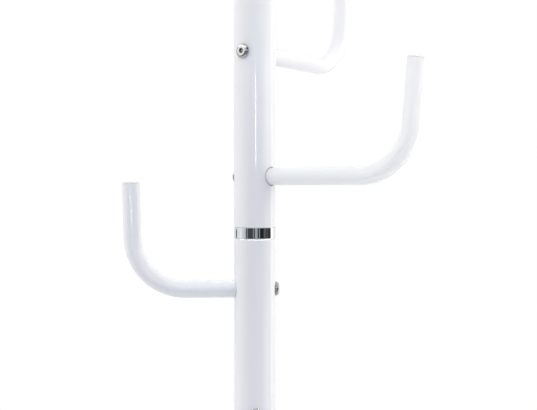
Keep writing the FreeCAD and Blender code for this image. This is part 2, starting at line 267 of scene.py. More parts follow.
# %% Material tools
def new_material(name):
    """A material with its tree, its shader and the coordinates of the object."""
    material = bpy.data.materials.new(name)
    material.use_nodes = True
    tree = material.node_tree
    shader = next(n for n in tree.nodes if n.type == "BSDF_PRINCIPLED")
    position = tree.nodes.new("ShaderNodeTexCoord").outputs["Object"]
    print("finish", name)
    return material, tree, shader, position


def place_group(tree, group, **inputs):
    """A shared group in a material; underscores in the names stand for spaces."""
    made = add(tree, "ShaderNodeGroup", node_tree=group)
    for key, value in inputs.items():
        feed(tree, made.inputs[key.replace("_", " ")], value)
    return made.outputs[0]


def between(tree, share, first, second):
    """A colour on the way from the first to the second."""
    made = add(tree, "ShaderNodeMix", {"Factor": share, 6: first, 7: second}, data_type="RGBA")
    return made.outputs[2]


def tone(tree, position, scale, dark, light):
    """A slow change between two close colours."""
    return between(tree, noise(tree, position, scale, Detail=3.0), (*dark, 1), (*light, 1))


def tint(tree, mask, under, over):
    """The colour under, with a plain colour laid over it where the mask is."""
    return between(tree, mask, under, (*over, 1))


def set_gloss(tree, shader, position, patch_size, least, most):
    """Roughness in patches, from the handling marks."""
    gloss = place_group(tree, marks, Position=position, Patch_size=patch_size, Least=least, Most=most)
    tree.links.new(gloss, shader.inputs["Roughness"])


def bump(tree, shader, height, strength, distance):
    made = add(tree, "ShaderNodeBump", {"Height": height, "Strength": strength, "Distance": distance})
    tree.links.new(made.outputs["Normal"], shader.inputs["Normal"])


# %% Powder coat
powder_coat, tree, shader, position = new_material("white_powder_coat")
film = tone(tree, position, scale=14.0, dark=(0.795, 0.80, 0.85), light=(0.815, 0.82, 0.87))
grains = place_group(tree, specks, Position=position, Spacing=0.011, Size=0.035)
tree.links.new(tint(tree, grains, film, (0.52, 0.51, 0.5)), shader.inputs["Base Color"])
set_gloss(tree, shader, position, patch_size=0.03, least=0.085, most=0.13)
peel = place_group(tree, ripple, Position=position, Wavelength=0.0026, Fine_share=0.2)
bump(tree, shader, peel, strength=0.03, distance=0.0002)
shader.inputs["IOR"].default_value = 1.55

# %% [markdown]
# ## The other finishes
# The plugs in the hook tips and the pole's top are white moulded plastic, a touch softer than
# the paint. The joint rings are chrome. Screws, bolt and inner plugs are bright zinc, with
# painted shade: darker grey on the screws' shoulders and dark brown down in the sockets. The
# foot hides a galvanised plate, a cast weight and rubber.

# %% White plastic
cap_plastic, tree, shader, position = new_material("white_cap_plastic")
body_tone = tone(tree, position, scale=90.0, dark=(0.80, 0.805, 0.82), light=(0.82, 0.825, 0.84))
tree.links.new(body_tone, shader.inputs["Base Color"])
set_gloss(tree, shader, position, patch_size=0.006, least=0.2, most=0.3)
grain = place_group(tree, ripple, Position=position, Wavelength=0.0007, Fine_share=0.5)
bump(tree, shader, grain, strength=0.06, distance=0.0001)
shader.inputs["IOR"].default_value = 1.49

# %% Chrome
ring_chrome, tree, shader, position = new_material("ring_chrome")
plate_tone = tone(tree, position, scale=120.0, dark=(0.86, 0.87, 0.885), light=(0.9, 0.905, 0.915))
tree.links.new(plate_tone, shader.inputs["Base Color"])
set_gloss(tree, shader, position, patch_size=0.012, least=0.02, most=0.05)
polish = place_group(tree, lathe, Distance=along_height(tree, position), Pitch=0.00012)
bump(tree, shader, polish, strength=0.015, distance=0.0001)
shader.inputs["Metallic"].default_value = 1.0


# %% Zinc plate
def marked(tree, label):
    """A value that the mesh holds at each point; 0 on a mesh that has none."""
    return add(tree, "ShaderNodeAttribute", attribute_name=label).outputs["Fac"]


def from_axis(tree, position):
    return marked(tree, "from_axis")


def zinc_plate(name, distance_of):
    """Bright zinc on turned steel; distance_of gives what the lathe lines follow."""
    material, tree, shader, position = new_material(name)
    plated = tone(tree, position, scale=260.0, dark=(0.82, 0.815, 0.79), light=(0.88, 0.875, 0.855))
    # Painted shade: the outside of each screw below its flat top, domed shoulder included, is tinted
    # darker grey in place of the dark reflections on the heads.
    shoulder_shaded = tint(tree, marked(tree, "shoulder"), plated, (0.48, 0.475, 0.465))
    # Painted shade: the socket walls are tinted dark brown, most strongly below the socket's lip.
    socket_shaded = tint(tree, marked(tree, "recess"), shoulder_shaded, (0.27, 0.22, 0.17))
    tree.links.new(socket_shaded, shader.inputs["Base Color"])
    set_gloss(tree, shader, position, patch_size=0.004, least=0.07, most=0.14)
    lines = place_group(tree, lathe, Distance=distance_of(tree, position), Pitch=0.00018)
    bump(tree, shader, lines, strength=0.08, distance=0.00008)
    shader.inputs["Metallic"].default_value = 1.0
    return material


screw_zinc = zinc_plate("screw_zinc", from_axis)
inner_zinc = zinc_plate("inner_zinc", along_height)

# %% Galvanised sheet
galvanised, tree, shader, position = new_material("galvanised_sheet")
spangle = add(tree, "ShaderNodeTexVoronoi", {"Vector": position, "Scale": 110.0})
leaf = add(tree, "ShaderNodeSeparateColor", {"Color": spangle.outputs["Color"]}).outputs["Red"]
leaf_tone = between(tree, leaf, (0.5, 0.51, 0.52, 1), (0.66, 0.67, 0.68, 1))
tree.links.new(leaf_tone, shader.inputs["Base Color"])
set_gloss(tree, shader, position, patch_size=0.02, least=0.3, most=0.45)
bump(tree, shader, leaf, strength=0.05, distance=0.0001)
shader.inputs["Metallic"].default_value = 1.0

# %% Cast weight
concrete, tree, shader, position = new_material("cast_concrete")
cement = tone(tree, position, scale=60.0, dark=(0.42, 0.41, 0.39), light=(0.55, 0.54, 0.52))
pits = place_group(tree, specks, Position=position, Spacing=0.006, Size=0.3)
tree.links.new(tint(tree, pits, cement, (0.2, 0.195, 0.19)), shader.inputs["Base Color"])
shader.inputs["Roughness"].default_value = 0.9
skin_height = place_group(tree, ripple, Position=position, Wavelength=0.003, Fine_share=0.5)
bump(tree, shader, skin_height, strength=0.5, distance=0.0006)

# %% Foot rubber
foot_rubber, tree, shader, position = new_material("foot_rubber")
compound = tone(tree, position, scale=200.0, dark=(0.028, 0.028, 0.03), light=(0.05, 0.05, 0.052))
lint = place_group(tree, specks, Position=position, Spacing=0.004, Size=0.12)
tree.links.new(tint(tree, lint, compound, (0.24, 0.23, 0.22)), shader.inputs["Base Color"])
set_gloss(tree, shader, position, patch_size=0.005, least=0.55, most=0.75)
grain = place_group(tree, ripple, Position=position, Wavelength=0.0008, Fine_share=0.6)
bump(tree, shader, grain, strength=0.25, distance=0.0001)

# %% [markdown]
# ## Turned shapes
# Rings, caps, the dish of the foot and the pads are round, so each is a profile turned about an
# axis. A profile's point is a complex number, radius and height, and has a normal of the same
# kind. Corners are listed with a rounding, and each becomes an arc whose normals are known
# exactly. Setting those normals keeps the flat parts flat, which glossy finishes show at once.

# %% Profiles
STRAIGHT = 1e-6


def arc(centre, radius, first, last, steps):
    """Points with normals round a centre, from one angle to another."""
    facings = [cmath.rect(1, first + (last - first) * k / steps) for k in range(steps + 1)]
    return [(centre + radius * facing, facing) for facing in facings]


def rounded(corners, steps=6):
    """A closed profile, anticlockwise, from corners (radius, height, rounding)."""
    places = [complex(r, h) for r, h, _ in corners]
    profile = []
    for index, here in enumerate(places):
        rounding = corners[index][2]
        before = here - places[index - 1]
        after = places[(index + 1) % len(places)] - here
        before /= abs(before)
        after /= abs(after)
        sweep = cmath.phase(after / before)
        if rounding == 0 or abs(sweep) < STRAIGHT:
            facing = -1j * (before + after)
            profile.append((here, facing / abs(facing)))
            continue
        reach = math.copysign(rounding, sweep)
        centre = here - before * rounding * math.tan(abs(sweep) / 2) + before * 1j * reach
        start = cmath.phase(-1j * before)
        profile += arc(centre, reach, start, start + sweep, steps)
    return profile


# %% Skins
ON_AXIS = 1e-7


def smooth_mesh(name, points, faces, normals=None):
    """A smooth mesh, with the normal of each point where they are given."""
    mesh = bpy.data.meshes.new(name)
    mesh.from_pydata([tuple(p) for p in points], [], faces)
    mesh.shade_smooth()
    if normals is not None:
        mesh.normals_split_custom_set_from_vertices([tuple(n) for n in normals])
    return mesh


def skin(rings, loop):
    """Faces over rings of point numbers; a ring of one point closes an end."""
    pairs = list(zip(rings, rings[1:])) + ([(rings[-1], rings[0])] if loop else [])
    faces = []
    for low, high in pairs:
        count = max(len(low), len(high))
        for i in range(count):
            j = (i + 1) % count
            if len(low) == 1:
                faces.append((low[0], high[j], high[i]))
            elif len(high) == 1:
                faces.append((low[i], low[j], high[0]))
            else:
                faces.append((low[i], low[j], high[j], high[i]))
    return faces


def turned(name, profile, place=Matrix(), steps=160, loop=True):
    """A profile of points with normals, turned about the Z axis of place."""
    points = []
    normals = []
    rings = []
    turn = place.to_3x3()
    for point, facing in profile:
        ring_start = len(points)
        on_axis = point.real < ON_AXIS
        for step in range(1 if on_axis else steps):
            angle = 2 * math.pi * step / steps
            side = Vector((math.cos(angle), math.sin(angle), 0))
            normal = turn @ (side * (0 if on_axis else facing.real) + UP * facing.imag)
            points.append(place @ (side * point.real + UP * point.imag))
            normals.append(normal.normalized())
        rings.append(list(range(ring_start, len(points))))
    return smooth_mesh(name, points, skin(rings, loop), normals)


# %% [markdown]
# ## Putting a piece in the scene
# A finished piece stands for one or more CAD nodes and rides on the stand's only body. One
# function does that for every piece, and prints the volume that it encloses, which is positive
# only when its faces point outwards.

# %% Piece tools
CM3 = 1e6


def closed_volume(mesh):
    """The volume inside a closed mesh, in cubic centimetres."""
    mesh.calc_loop_triangles()
    corners = np.empty(len(mesh.vertices) * 3)
    mesh.vertices.foreach_get("co", corners)
    corners = corners.reshape(-1, 3)
    numbers = np.empty(len(mesh.loop_triangles) * 3, dtype=np.int32)
    mesh.loop_triangles.foreach_get("vertices", numbers)
    a, b, c = (corners[numbers.reshape(-1, 3)[:, k]] for k in range(3))
    return float(np.einsum("ij,ij->i", a, np.cross(b, c)).sum() / 6) * CM3


def dress(piece, slot, *nodes):
    """Says what a piece rides on and which CAD nodes it stands for; slot is not used."""
    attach(piece, "root")
    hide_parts(*nodes)
    volume = closed_volume(piece.data)
    print(piece.name, len(piece.data.polygons), "faces", round(volume, 2), "cm3")


def put(mesh, finish, slot, *nodes):
    """Makes a mesh a piece of the stand in place of the CAD nodes."""
    mesh.materials.append(finish)
    piece = bpy.data.objects.new(mesh.name, mesh)
    scene.collection.objects.link(piece)
    dress(piece, slot, *nodes)


# %% [markdown]
# ## The pole
# Three painted tubes. Each hook enters through a hole whose edge is softened by the paint, and
# its screw enters opposite. A Boolean would cut the holes, but it leaves long thin faces that
# crease a glossy surface. So the wall is a grid, and round each hole a patch of rings runs from
# the grid to the hole, over its rounded edge, through the wall and out on the inside.

# %% Pole sizes
COLUMNS = 192
PATCH_COLUMNS = 20
PATCH_ROWS = 8
PATCH_HEIGHT = 0.012
RIM_ROUND = 0.0008
TOP_RIM_ROUND = 0.0012
HOLE_ROUND = 0.00035
HOOK_HOLE_R = 0.00855
SCREW_HOLE_R = 0.0033
PATCH_SHARES = (0.62, 0.34, 0.14, 0.04, 0.0)
EDGE_STEPS = 5
SLANT = math.sqrt(0.5)


# %% Rows of a tube
def turned_in(level, rounding, lift):
    """A row on a rim's rounding that starts at level: radius, height, normal out, normal up."""
    c, s = math.cos(lift), math.sin(lift)
    return POLE_R - rounding * (1 - c), level + rounding * s, c, s


def tube_rows(foot, top, levels):
    """(radius, height, normal out, normal up) of each row, up the outside and down the inside."""
    quarter = [math.pi / 2 * k / EDGE_STEPS for k in range(EDGE_STEPS + 1)]
    patch = np.linspace(-PATCH_HEIGHT, PATCH_HEIGHT, 2 * PATCH_ROWS + 1)
    heights = sorted(level + step for level in levels for step in patch)
    rows = [turned_in(foot + RIM_ROUND, RIM_ROUND, q - math.pi / 2) for q in quarter]
    rows += [(POLE_R, h, 1.0, 0.0) for h in heights]
    rows += [turned_in(top - TOP_RIM_ROUND, TOP_RIM_ROUND, q) for q in quarter]
    first_inner = len(rows) + 1
    rows += [(BORE_R, top, -SLANT, SLANT)]
    rows += [(BORE_R, h, -1.0, 0.0) for h in reversed(heights)]
    rows += [(BORE_R, foot, -SLANT, -SLANT)]
    return rows, EDGE_STEPS + 1, first_inner, len(heights)


# %% Patch round a hole
def hole_patch(points, normals, outer, inner, azimuth, level, radius):
    """Adds the rings between a window's outer and inner borders; returns the faces."""
    ahead = np.array([math.cos(azimuth), math.sin(azimuth), 0.0])
    along = np.array([-math.sin(azimuth), math.cos(azimuth), 0.0])
    up = np.array(UP)
    border = np.array([points[n] for n in outer])
    side = border @ along
    rise = border[:, 2] - level
    angle = np.arctan2(rise, side)
    across = np.cos(angle)
    upward = np.sin(angle)
    facing_hole = -(across[:, None] * along + upward[:, None] * up)
    rings = [outer]

    def lay(offset, height, depth, normal):
        start = len(points)
        place = depth[:, None] * ahead + offset[:, None] * along + (height + level)[:, None] * up
        points.extend(place)
        normals.extend(normal / np.linalg.norm(normal, axis=1)[:, None])
        rings.append(list(range(start, len(points))))

    def on_tube(tube_r, offset):
        depth = np.sqrt(tube_r**2 - offset**2)
        return depth, (depth[:, None] * ahead + offset[:, None] * along) / tube_r

    lip = radius + HOLE_ROUND
    for share in PATCH_SHARES:
        offset = side * share + lip * across * (1 - share)
        height = rise * share + lip * upward * (1 - share)
        lay(offset, height, *on_tube(POLE_R, offset))
    for step in range(1, EDGE_STEPS + 1):
        turn = math.pi / 2 * step / EDGE_STEPS
        reach = lip - HOLE_ROUND * math.sin(turn)
        depth, normal = on_tube(POLE_R, reach * across)
        depth -= HOLE_ROUND * (1 - math.cos(turn))
        normal = math.cos(turn) * normal + math.sin(turn) * facing_hole
        lay(reach * across, reach * upward, depth, normal)
    depth, normal = on_tube(BORE_R, radius * across)
    lay(radius * across, radius * upward, depth, facing_hole - normal)
    rings.append(inner)
    return skin(rings, loop=False)


# %% A whole tube
def window_border(row_at, column):
    """Point numbers round a window, anticlockwise from outside; row_at gives a row's first."""
    left = column - PATCH_COLUMNS
    right = column + PATCH_COLUMNS
    last = 2 * PATCH_ROWS
    walk = [(0, c) for c in range(left, right)]
    walk += [(r, right) for r in range(last)]
    walk += [(last, c) for c in range(right, left, -1)]
    walk += [(r, left) for r in range(last, 0, -1)]
    return [row_at(r) + c % COLUMNS for r, c in walk]


def pole_tube(node, holes, first_azimuth):
    """One tube of the pole; holes are (column, level, radius), counted from first_azimuth."""
    low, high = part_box(node)
    levels = sorted({level for _, level, _ in holes})
    rows, first_outer, first_inner, count = tube_rows(low.z, high.z, levels)
    azimuths = [first_azimuth + 2 * math.pi * column / COLUMNS for column in range(COLUMNS)]
    points = []
    normals = []
    for radius, h, out, lift in rows:
        for c, s in ((math.cos(a), math.sin(a)) for a in azimuths):
            points.append(np.array([radius * c, radius * s, h]))
            normals.append(np.array([out * c, out * s, lift]))
    skipped = set()
    faces = []
    for column, level, radius in holes:
        row = levels.index(level) * (2 * PATCH_ROWS + 1)
        outside = first_outer + row
        inside = first_inner + count - 1 - row
        for step in range(2 * PATCH_ROWS):
            for c in range(column - PATCH_COLUMNS, column + PATCH_COLUMNS):
                skipped.add((outside + step, c % COLUMNS))
                skipped.add((inside - step - 1, c % COLUMNS))
        outer = window_border(lambda r: (outside + r) * COLUMNS, column)
        inner = window_border(lambda r: (inside - r) * COLUMNS, column)
        azimuth = azimuths[column % COLUMNS]
        faces += hole_patch(points, normals, outer, inner, azimuth, level, radius)
    for row in range(len(rows)):
        here = row * COLUMNS
        above = (row + 1) % len(rows) * COLUMNS
        for c in range(COLUMNS):
            d = (c + 1) % COLUMNS
            if (row, c) not in skipped:
                faces.append((here + c, here + d, above + d, above + c))
    mesh = smooth_mesh(node + "_painted", points, faces, normals)
    put(mesh, powder_coat, "white_paint", node)


# %% Tubes with their holes
def azimuth_of(hook):
    return math.atan2(hook["out"].y, hook["out"].x)


def section_holes(section):
    """Holes of the hooks named after a section, and the azimuth of the first."""
    own = [h for h in hooks if h["name"].startswith(section)]
    first = azimuth_of(own[0])
    holes = []
    for hook in own:
        column = round((azimuth_of(hook) - first) / (2 * math.pi) * COLUMNS)
        holes.append((column, hook["level"], HOOK_HOLE_R))
        holes.append((column + COLUMNS // 2, hook["level"], SCREW_HOLE_R))
    return holes, first


pole_tube("lower_tube", [], 0.0)
pole_tube("middle_tube", *section_holes("middle_hook"))
pole_tube("upper_tube", *section_holes("upper_hook"))

# %% [markdown]
# ## Hooks
# Each hook is a length of round tube with one bend. A tube that follows a path suits Geometry
# Nodes: three points make a line, Fillet Curve rounds its corner, and a circle is swept along
# it. Solidify then gives the wall its thickness. The eight hooks share the tree.

# %% Tree tools
GEOMETRY = "NodeSocketGeometry"
WHOLE = "NodeSocketInt"
MATERIAL = "NodeSocketMaterial"


def new_tree(name, inputs):
    """A Geometry Nodes tree with these inputs and a finish."""
    finish = ("Finish", MATERIAL, None)
    return new_group(name, "GeometryNodeTree", [*inputs, finish], [("Geometry", GEOMETRY)])


def end_tree(tree, geometry, ins, outs):
    """Ends a tree: instances become real, and all of it gets the finish."""
    real = add(tree, "GeometryNodeRealizeInstances", {"Geometry": geometry}).outputs["Geometry"]
    finished = add(
        tree,
        "GeometryNodeSetMaterial",
        {"Geometry": real, "Material": ins.outputs["Finish"]},
    )
    tree.links.new(finished.outputs["Geometry"], outs.inputs["Geometry"])
    print("tree", tree.name, len(tree.nodes), "nodes")


# %% Bent tube tree
bent_tube, ins, outs = new_tree(
    "bent_tube",
    [
        ("Start", VECTOR, None),
        ("Corner", VECTOR, None),
        ("End", VECTOR, None),
        ("Bend radius", FLOAT, 0.05),
        ("Tube radius", FLOAT, 0.008),
        ("Bend steps", WHOLE, 64),
        ("Round steps", WHOLE, 96),
    ],
)
three_points = add(bent_tube, "GeometryNodeMeshLine", {"Count": 3})
choice = add(bent_tube, "GeometryNodeIndexSwitch", data_type="VECTOR")
choice.index_switch_items.new()
number = add(bent_tube, "GeometryNodeInputIndex").outputs["Index"]
bent_tube.links.new(number, choice.inputs["Index"])
for place, label in enumerate(("Start", "Corner", "End"), start=1):
    bent_tube.links.new(ins.outputs[label], choice.inputs[place])
placed = add(
    bent_tube,
    "GeometryNodeSetPosition",
    {"Geometry": three_points.outputs["Mesh"], "Position": choice.outputs["Output"]},
)
line = add(bent_tube, "GeometryNodeMeshToCurve", {"Mesh": placed.outputs["Geometry"]})
bent = add(
    bent_tube,
    "GeometryNodeFilletCurve",
    {
        "Curve": line.outputs["Curve"],
        "Count": ins.outputs["Bend steps"],
        "Radius": ins.outputs["Bend radius"],
    },
    mode="POLY",
)
section = add(
    bent_tube,
    "GeometryNodeCurvePrimitiveCircle",
    {"Resolution": ins.outputs["Round steps"], "Radius": ins.outputs["Tube radius"]},
)
swept = add(
    bent_tube,
    "GeometryNodeCurveToMesh",
    {"Curve": bent.outputs["Curve"], "Profile Curve": section.outputs["Curve"]},
)
smooth = add(bent_tube, "GeometryNodeSetShadeSmooth", {"Geometry": swept.outputs["Mesh"]})
end_tree(bent_tube, smooth.outputs["Geometry"], ins, outs)


# %% Running a tree
def settle(piece):
    """Turns what a piece's modifiers make into its own plain mesh."""
    bpy.context.view_layer.update()
    made = piece.evaluated_get(bpy.context.evaluated_depsgraph_get())
    mesh = bpy.data.meshes.new_from_object(made)
    piece.modifiers.clear()
    piece.data = mesh
    return piece


def grown(name, tree, mesh=None, **inputs):
    """A new object with the mesh that a Geometry Nodes tree gives for these inputs."""
    piece = bpy.data.objects.new(name, mesh or bpy.data.meshes.new(name))
    scene.collection.objects.link(piece)
    nodes = piece.modifiers.new("nodes", "NODES")
    nodes.node_group = tree
    for socket in tree.interface.items_tree:
        key = socket.name.replace(" ", "_")
        if socket.in_out == "INPUT" and key in inputs:
            nodes[socket.identifier] = inputs[key]
    return settle(piece)


# %% Eight hooks
HOOK_WALL = 0.0012
HOOK_SHARP = math.radians(40)


def hook_tube(hook):
    piece = grown(
        hook["name"] + "_tube",
        bent_tube,
        Start=hook["start"],
        Corner=hook["corner"],
        End=hook["end"],
        Bend_radius=hook["bend"],
        Tube_radius=HOOK_R,
        Bend_steps=64,
        Round_steps=96,
        Finish=powder_coat,
    )
    wall = piece.modifiers.new("wall", "SOLIDIFY")
    wall.thickness = HOOK_WALL
    wall.offset = -1
    settle(piece)
    piece.data.set_sharp_from_angle(angle=HOOK_SHARP)
    dress(piece, "white_paint", hook["name"])


for hook in hooks:
    hook_tube(hook)

# %% [markdown]
# ## Hook tips
# A white plug closes each tip. Its head is as wide as the tube, with a rounded top edge, and a
# narrow seam shows where it meets the tube. It is turned about the upright's own axis.

# %% Tip caps
TIP_HEAD = 0.0022
TIP_ROUND = 0.0012
TIP_SEAM = 0.0003
TIP_SEAM_ROUND = 0.0002
TIP_CROWN = 0.0003
TIP_CROWN_ROUND = 0.008
TIP_STEM = 0.012
TIP_STEM_ROUND = 0.0008
STEM_R = HOOK_R - HOOK_WALL
tip_profile = rounded(
    [
        (0, -TIP_STEM, 0),
        (STEM_R, -TIP_STEM, TIP_STEM_ROUND),
        (STEM_R, 0, 0),
        (HOOK_R - TIP_SEAM, 0, 0),
        (HOOK_R, TIP_SEAM, TIP_SEAM_ROUND),
        (HOOK_R, TIP_HEAD - TIP_CROWN, TIP_ROUND),
        (HOOK_R / 2, TIP_HEAD - TIP_CROWN / 3, TIP_CROWN_ROUND),
        (0, TIP_HEAD, 0),
    ]
)
for hook in hooks:
    turn = hook["axis"].to_track_quat("Z", "Y").to_matrix().to_4x4()
    place = Matrix.Translation(hook["end"]) @ turn
    plug = turned(hook["name"] + "_plug", tip_profile, place, steps=96, loop=False)
    put(plug, cap_plastic, "white_plastic", hook["name"] + "_cap")

# %% [markdown]
# ## Screws
# Each hook is drawn tight by a screw from the far side of the pole: a low round head with a flat
# top and a hexagon socket. One screw is built as a stack of rings, round outside and six-sided
# inside. The CAD places become a cloud of points, and a tree sets a screw on each.

# %% Screw sizes
SCREW_STEPS = 96
SCREW_R = 0.003
SCREW_TIP = -0.020
SCREW_CHAMFER = 0.0008
SCREW_SHARP = math.radians(16)
HEAD_R = 0.0065
HEAD_FOOT_EDGE = 0.0001
HEAD_EDGE = 0.0008
HEAD_TOP = 0.003
HEAD_FLAT_R = 0.0041
HEAD_FLAT_EDGE = 0.00015
HEAD_DOME = 0.0034
HEAD_STEPS = 12
SOCKET_WIDTH = 0.004
SOCKET_DEPTH = 0.0021
SOCKET_LEAD = 1.14
SOCKET_LEAD_DEPTH = 0.0002
SOCKET_SHADE_DEPTH = 0.0004
SOCKET_POINT = 0.0004


# %% One screw
def head_dome():
    """(radius, height) along the rounded shoulder, from the edge up to the flat."""
    start = complex(HEAD_R, HEAD_EDGE)
    finish = complex(HEAD_FLAT_R, HEAD_TOP)
    chord = finish - start
    rise = math.sqrt(HEAD_DOME**2 - abs(chord / 2) ** 2)
    centre = (start + finish) / 2 + 1j * chord / abs(chord) * rise
    angles = cmath.phase(start - centre), cmath.phase(finish - centre)
    return [(p.real, p.imag) for p, _ in arc(centre, HEAD_DOME, *angles, HEAD_STEPS)]


def screw_rings(angles):
    """Rings from the tip to the socket's floor: radii, height, and shares of painted shade in the
    socket and on the shoulder.
    """
    sixth = math.pi / 3
    six = (angles + sixth / 2) % sixth - sixth / 2
    hexagon = SOCKET_WIDTH / 2 / np.cos(sixth / 2 - np.abs(six))
    even = np.ones(SCREW_STEPS)
    floor = HEAD_TOP - SOCKET_DEPTH
    outside = [
        (SCREW_R - SCREW_CHAMFER, SCREW_TIP),
        (SCREW_R, SCREW_TIP + SCREW_CHAMFER),
        (SCREW_R, 0.0),
        (HEAD_R - HEAD_FOOT_EDGE, 0.0),
        (HEAD_R, HEAD_FOOT_EDGE),
        *head_dome(),
    ]
    return [
        (np.zeros(1), SCREW_TIP, 0.0, 0.0),
        *[(even * r, h, 0.0, 1.0) for r, h in outside],
        (even * (HEAD_FLAT_R - HEAD_FLAT_EDGE), HEAD_TOP, 0.0, 0.0),
        (hexagon * SOCKET_LEAD, HEAD_TOP, 0.3, 0.0),
        (hexagon, HEAD_TOP - SOCKET_LEAD_DEPTH, 0.9, 0.0),
        (hexagon, HEAD_TOP - SOCKET_SHADE_DEPTH, 1.0, 0.0),
        (hexagon, floor, 1.0, 0.0),
        (np.zeros(1), floor - SOCKET_POINT, 0.7, 0.0),
    ]


def screw_mesh():
    """A screw along +X with its seat at the origin, and the values that its finish reads."""
    angles = np.linspace(0, 2 * math.pi, SCREW_STEPS, endpoint=False)
    points = []
    rings = []
    values = {"recess": [], "shoulder": [], "from_axis": []}
    for radii, h, recess, shoulder in screw_rings(angles):
        start = len(points)
        for r, angle in zip(radii, angles):
            points.append((h, -r * math.sin(angle), r * math.cos(angle)))
            values["recess"].append(recess)
            values["shoulder"].append(shoulder)
            values["from_axis"].append(r)
        rings.append(list(range(start, len(points))))
    mesh = smooth_mesh("screw", points, skin(rings, loop=False))
    mesh.set_sharp_from_angle(angle=SCREW_SHARP)
    for label, numbers in values.items():
        mesh.attributes.new(label, "FLOAT", "POINT").data.foreach_set("value", numbers)
    return mesh


screw_master = bpy.data.objects.new("screw_master", screw_mesh())
print("one screw", round(closed_volume(screw_master.data), 3), "cm3")

# %% Screw tree
set_screws, ins, outs = new_tree(
    "set_screws",
    [("Geometry", GEOMETRY, None), ("Screw", "NodeSocketObject", None)],
)
azimuth = add(set_screws, "GeometryNodeInputNamedAttribute", {"Name": "azimuth"}, data_type="FLOAT")
turn = add(set_screws, "ShaderNodeCombineXYZ", {"Z": azimuth.outputs["Attribute"]})
rotation = add(set_screws, "FunctionNodeEulerToRotation", {"Euler": turn.outputs["Vector"]})
part = add(
    set_screws,
    "GeometryNodeObjectInfo",
    {"Object": ins.outputs["Screw"], "As Instance": True},
)
spread_out = add(
    set_screws,
    "GeometryNodeInstanceOnPoints",
    {
        "Points": ins.outputs["Geometry"],
        "Instance": part.outputs["Geometry"],
        "Rotation": rotation.outputs["Rotation"],
    },
)
end_tree(set_screws, spread_out.outputs["Instances"], ins, outs)

# %% Eight screws
seats = bpy.data.meshes.new("screw_seats")
seats.from_pydata([tuple(h["out"] * -POLE_R + UP * h["level"]) for h in hooks], [], [])
seat_turn = seats.attributes.new("azimuth", "FLOAT", "POINT")
seat_turn.data.foreach_set("value", [azimuth_of(h) + math.pi for h in hooks])
screws = grown("hook_screws_plated", set_screws, seats, Screw=screw_master, Finish=screw_zinc)
bpy.data.objects.remove(screw_master)
dress(screws, "plated_steel", "hook_screws")

# %% [markdown]
# ## Joint rings
# Between the tubes, and under the lowest one, sits a polished ring as wide as the pole. It is
# turned with softly rounded edges, which catch a thin line of light above and below.

# %% Rings
RING_BORE_R = 0.013
RING_ROUND = 0.00025
RING_FOOT_ROUND = 0.0004
for node in ("base_ring", "lower_ring", "upper_ring"):
    low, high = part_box(node)
    profile = rounded(
        [
            (RING_BORE_R, low.z, RING_ROUND),
            (POLE_R, low.z, RING_FOOT_ROUND),
            (POLE_R, high.z, RING_ROUND),
            (RING_BORE_R, high.z, RING_ROUND),
        ]
    )
    put(turned(node + "_chromed", profile, steps=256), ring_chrome, "chrome", node)

# %% [markdown]
# ## Pole top
# A moulded cap closes the pole: a low dome with a rounded edge, and a stem inside the tube.
# Its few corners are listed with the normals that suit them.

# %% Top cap
CAP_EDGE = 0.002
CAP_WALL = 0.002
CAP_SEAM = 0.0002
CAP_SIDE_END = 0.0006
CAP_BREAK = 0.0001
CROWN_SHARE = 0.97
CROWN_STEPS = 14
IN_DOWN = complex(-SLANT, -SLANT)
OUT_DOWN = complex(SLANT, -SLANT)
low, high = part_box("top_cap")
tube_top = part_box("upper_tube")[1].z
edge_top = tube_top + CAP_EDGE
cap_rise = high.z - edge_top
dome_r = (POLE_R**2 + cap_rise**2) / (2 * cap_rise)
crown_span = CROWN_SHARE * math.asin(POLE_R / dome_r)
stem_side = [
    (complex(0, tube_top), complex(0, -1)),
    (complex(BORE_R - CAP_WALL, tube_top), IN_DOWN),
    (complex(BORE_R - CAP_WALL, low.z), IN_DOWN),
    (complex(BORE_R, low.z), OUT_DOWN),
    (complex(BORE_R, tube_top), OUT_DOWN),
    (complex(POLE_R - CAP_SEAM, tube_top), complex(0.4, -0.9)),
    (complex(POLE_R, tube_top + CAP_SEAM), complex(1, 0)),
    (complex(POLE_R, edge_top - CAP_SIDE_END), complex(1, 0)),
    (complex(POLE_R - CAP_SEAM, edge_top - CAP_BREAK), complex(0.8, 0.6)),
]
crown = arc(
    complex(0, high.z - dome_r), dome_r, math.pi / 2 - crown_span, math.pi / 2, CROWN_STEPS
)
cap = turned("top_cap_moulded", stem_side + crown, loop=False)
put(cap, cap_plastic, "white_plastic", "top_cap")

# %% [markdown]
# ## Foot
# The foot is a pressed and painted steel dish: a flat seat under the pole, a shallow dome, a
# rolled rim and a short skirt. Its plate is galvanised sheet with a pressed recess for the bolt.
# The dish repeats the CAD profile, with the bottom edge of the skirt rounded by the paint.

# %% Dish
SHEET = 0.0012
SLOPE = math.radians(10)
RIM_ROLL = 0.010
SEAT_R = 0.034
BOLT_HOLE_R = 0.0055
ROLL_STEPS = 16
DISH_STEPS = 32
SKIRT_STEPS = 8
low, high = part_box("base_shell")
roll_r = high.x - RIM_ROLL
dome_end_r = roll_r + RIM_ROLL * math.sin(SLOPE)
dome_end_h = high.z - (dome_end_r - SEAT_R) * math.tan(SLOPE / 2)
roll_middle = complex(roll_r, dome_end_h - RIM_ROLL * math.cos(SLOPE))
dish_r = (dome_end_r - SEAT_R) / math.sin(SLOPE)
dish_middle = complex(SEAT_R, high.z - dish_r)
roll_end = math.pi / 2 - SLOPE


def dish_face(inset):
    """From the skirt's side up over the roll and the dome to the seat, moved in by inset."""
    roll = arc(roll_middle, RIM_ROLL - inset, 0, roll_end, ROLL_STEPS)
    return roll + arc(dish_middle, dish_r - inset, roll_end, math.pi / 2, DISH_STEPS)[1:]


